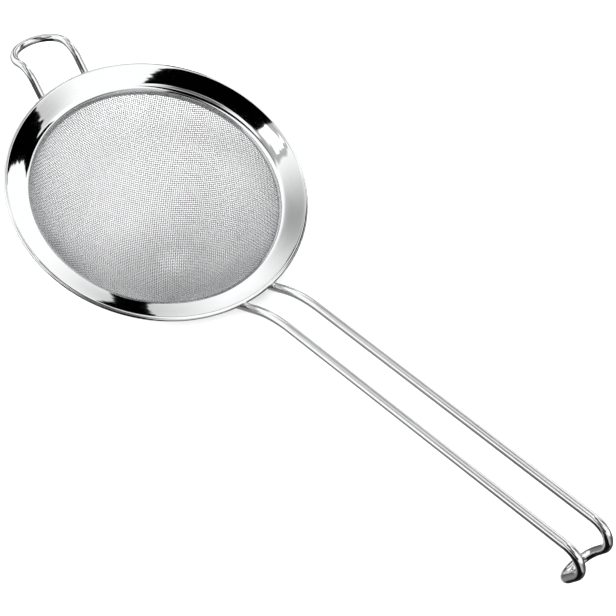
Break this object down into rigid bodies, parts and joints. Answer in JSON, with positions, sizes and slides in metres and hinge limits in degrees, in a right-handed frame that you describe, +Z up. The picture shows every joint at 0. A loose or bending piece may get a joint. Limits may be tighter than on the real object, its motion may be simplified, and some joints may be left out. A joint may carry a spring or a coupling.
{
  "type": "tea strainer",
  "caption": "Hand-held tea strainer: flanged steel ring with a woven wire bowl, a long bent-wire handle ending in a hook, and a short wire support loop.",
  "frame": {"origin": "on the table, under the middle of the strainer's bounding box, as it lies on its bowl and hook", "axes": "+X runs along the handle towards the hook, +Y across the handle, +Z up"},
  "size_m": [0.2004, 0.08, 0.0464],
  "materials": {
    "polished_steel": "mirror-polished stainless steel",
    "band_steel": "plain rolled stainless steel",
    "mesh_steel": "bright drawn wire, plain weave",
    "wire_steel": "polished drawn rod"
  },
  "bodies": {
    "root": {"rim": "polished_steel", "clamp_band": "band_steel", "mesh_bowl": "mesh_steel", "handle_wire": "wire_steel", "support_loop": "wire_steel"}
  },
  "joints": []
}
